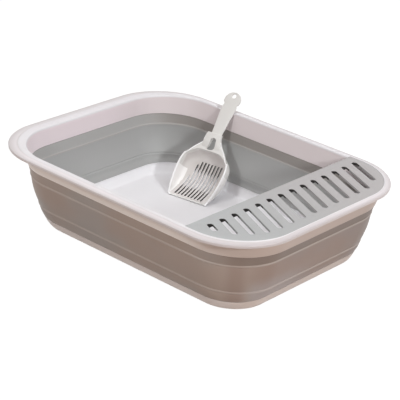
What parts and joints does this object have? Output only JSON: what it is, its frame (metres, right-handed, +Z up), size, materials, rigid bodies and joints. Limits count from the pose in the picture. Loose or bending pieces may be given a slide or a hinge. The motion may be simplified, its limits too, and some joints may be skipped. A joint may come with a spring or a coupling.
{
  "type": "foldable litter box",
  "caption": "Litter tray with a stiff rim and base joined by a soft folding wall, a lift-off slotted step at one end and a scoop with a plug-in handle.",
  "frame": {"origin": "on the ground, at the middle of the base pan's flat underside under the middle of the rim", "axes": "+Z up, +X along the tray towards the slotted step, +Y towards the long side where the scoop leans"},
  "size_m": [0.5, 0.3876, 0.1462],
  "materials": {
    "white_plastic": "satin white injection-moulded plastic",
    "grey_soft_plastic": "matte grey soft plastic",
    "light_grey_plastic": "satin light grey injection-moulded plastic",
    "off_white_plastic": "satin off-white injection-moulded plastic"
  },
  "bodies": {
    "base": {"base_pan": "white_plastic", "wall_lower_band": "grey_soft_plastic", "wall_middle_band": "grey_soft_plastic"},
    "rim": {"rim_frame": "white_plastic", "wall_upper_band": "grey_soft_plastic"},
    "step": {"step_grid": "light_grey_plastic"},
    "scoop": {"scoop_basin": "off_white_plastic"},
    "handle": {"scoop_handle": "off_white_plastic"}
  },
  "joints": [
    {"name": "fold_down", "type": "slide", "parent": "base", "child": "rim", "axis": [0, 0, -1], "range_m": [0, 0.072], "deforming": ["wall_middle_band"]},
    {"name": "step_lift", "type": "slide", "parent": "rim", "child": "step", "axis": [0, 0, 1], "range_m": [0, 0.06]},
    {"name": "scoop_lift", "type": "slide", "parent": "base", "child": "scoop", "axis": [0, 0, 1], "range_m": [0, 0.15]},
    {"name": "handle_pull", "type": "slide", "parent": "scoop", "child": "handle", "axis": [-0.0965, 0.6536, 0.7507], "range_m": [0, 0.03]}
  ]
}
